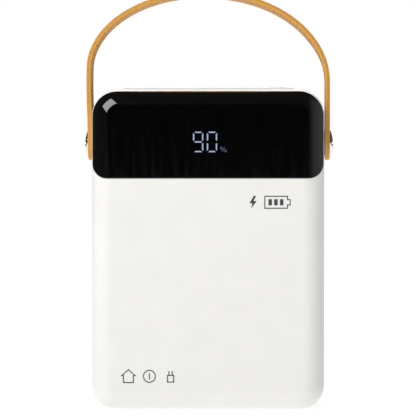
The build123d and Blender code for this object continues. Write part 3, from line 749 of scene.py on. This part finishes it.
def small_contacts(maker):
    """Fine strips on both faces of the USB-C tongue and one face of the micro-USB tongue."""
    shell_low, shell_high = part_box("usb_c_shell")
    middle_y = (shell_low.y + shell_high.y) / 2
    x, top = tongue_middle("usb_c_tongue")
    for outwards in (-1, 1):
        face_y = middle_y + outwards * usb_c_half_tongue
        contact_strips(maker, x, top - usb_c_margin, face_y, outwards, *usb_c_strips)
    shell_low, shell_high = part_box("micro_usb_shell")
    face_y = (shell_low.y + shell_high.y) / 2
    x, top = tongue_middle("micro_usb_tongue")
    contact_strips(maker, x, top - micro_margin, face_y, -1, *micro_strips)


# ---- Stage, lights and camera ----
floor_grey = (0.32, 0.32, 0.32)
floor_reach = 12.0
floor_drop = 0.0001  # below the base, so that the two faces never share a plane
near_glow, far_glow = 0.78, 1.0
glow_distances = (0.3, 1.2)  # from the middle of the floor
# Strength of the world light: side by the X of a direction, front by its Y.
world_side = {"From Min": 0.46, "From Max": 1.0, "To Min": 0.055, "To Max": 0.36}
world_front = {"From Min": -1.0, "From Max": -0.8, "To Min": 0.2, "To Max": 1.0}
light_target = (0, 0, 0.1)
camera_distance = 1.1  # to the front face
eye_height = 84.7 * MM
camera_turn = math.radians(1.4)
camera_aim_x = -0.43 * MM
camera_field = math.radians(9.064)
sensor_width = 36  # millimetres


def make_floor():
    """A pale floor whose glow grows with distance, so that it meets the background with no line."""
    finish = Finish("floor_pale", floor_grey, 0.9)
    mottled(finish, floor_grey, spread=0.01, scale=0.01)
    finish.set("Emission Color", (1.0, 1.0, 0.995, 1.0))
    place = finish.node("ShaderNodeTexCoord").outputs["Object"]
    far = finish.node("ShaderNodeVectorMath", Vector=place)
    far.operation = "LENGTH"
    glow = finish.remap(far.outputs["Value"], near_glow, far_glow, *glow_distances)
    finish.link(glow, finish.shader.inputs["Emission Strength"])
    finish.set("Specular IOR Level", 0.0)
    mesh = bpy.data.meshes.new("floor")
    signs = ((-1, -1), (1, -1), (1, 1), (-1, 1))
    corners = [(x * floor_reach, y * floor_reach, 0) for x, y in signs]
    mesh.from_pydata(corners, [], [(0, 1, 2, 3)])
    mesh.materials.append(finish.material)
    floor = bpy.data.objects.new("floor", mesh)
    floor.location.z = cad_low.z - floor_drop
    scene.collection.objects.link(floor)


def area_light(name, place, target, size, radiance, glossy=True):
    """A soft box aimed at a target, sized across and along its direction out from the -Y axis."""
    data = bpy.data.lights.new(name, "AREA")
    data.shape = "RECTANGLE"
    data.size, data.size_y = size
    data.energy = radiance * math.pi * size[0] * size[1]
    light = bpy.data.objects.new(name, data)
    back = (Vector(place) - Vector(target)).normalized()
    outwards = Vector((back.x, 0, back.z)).normalized()
    along = (outwards - back * outwards.dot(back)).normalized()
    turn = Matrix((along.cross(back), along, back)).transposed()
    light.location = place
    light.rotation_euler = turn.to_euler()
    light.visible_camera = False
    light.visible_glossy = glossy
    scene.collection.objects.link(light)


def make_world():
    """White to the camera; for light and reflections dim in front and brighter to the right."""
    world = bpy.data.worlds.new("studio")
    world.use_nodes = True
    scene.world = world
    tree = world.node_tree
    nodes, links = tree.nodes, tree.links
    background = nodes["Background"]
    direction = nodes.new("ShaderNodeTexCoord").outputs["Generated"]
    split = nodes.new("ShaderNodeSeparateXYZ")
    links.new(direction, split.inputs[0])
    dimmed = nodes.new("ShaderNodeMath")
    dimmed.operation = "MULTIPLY"
    for factor, (axis, values) in enumerate((("X", world_side), ("Y", world_front))):
        graded = nodes.new("ShaderNodeMapRange")
        graded.interpolation_type = "SMOOTHSTEP"
        links.new(split.outputs[axis], graded.inputs["Value"])
        for name, value in values.items():
            graded.inputs[name].default_value = value
        links.new(graded.outputs["Result"], dimmed.inputs[factor])
    seen = nodes.new("ShaderNodeLightPath")
    strength = nodes.new("ShaderNodeMix")
    unseen, to_camera = mix_floats
    links.new(seen.outputs["Is Camera Ray"], strength.inputs[mix_factor])
    links.new(dimmed.outputs["Value"], strength.inputs[unseen])
    strength.inputs[to_camera].default_value = 1.0
    links.new(strength.outputs[mix_float_result], background.inputs["Strength"])
    background.inputs["Color"].default_value = (1, 1, 1, 1)


def make_camera():
    """A level camera below the black cap, stood a little to the right and turned back."""
    distance = camera_distance + (cad_high.y - cad_low.y) / 2
    data = bpy.data.cameras.new("camera")
    data.sensor_width = sensor_width
    data.angle = camera_field
    camera = bpy.data.objects.new("camera", data)
    x = camera_aim_x + math.sin(camera_turn) * distance
    y = -math.cos(camera_turn) * distance
    camera.location = (x, y, eye_height)
    camera.rotation_euler = (math.pi / 2, 0, camera_turn)
    scene.collection.objects.link(camera)
    scene.camera = camera


make_camera()
make_world()
make_floor()
area_light("softbox_left", (-0.760, -1.004, 0.915), light_target, size=(0.98, 1.09), radiance=4.75)
area_light("overhead", (0, 0.15, 1.3), light_target, size=(0.8, 0.8), radiance=6.6, glossy=False)
scene.view_settings.view_transform = "Standard"

dress_frame()
strap = piece_from(make_strap, "strap_leather", "handle", "tan_leather",
                   slot_finish["tan_leather"], strap_flesh, strap_edge)
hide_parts("handle_strap")
piece_from(print_pictograms, "printed_pictograms", "case", "panel_black", ink)
piece_from(usb_a_contacts, "usb_a_contacts", "case", "brass", gold)
piece_from(small_contacts, "small_usb_contacts", "case", "brass", gold)
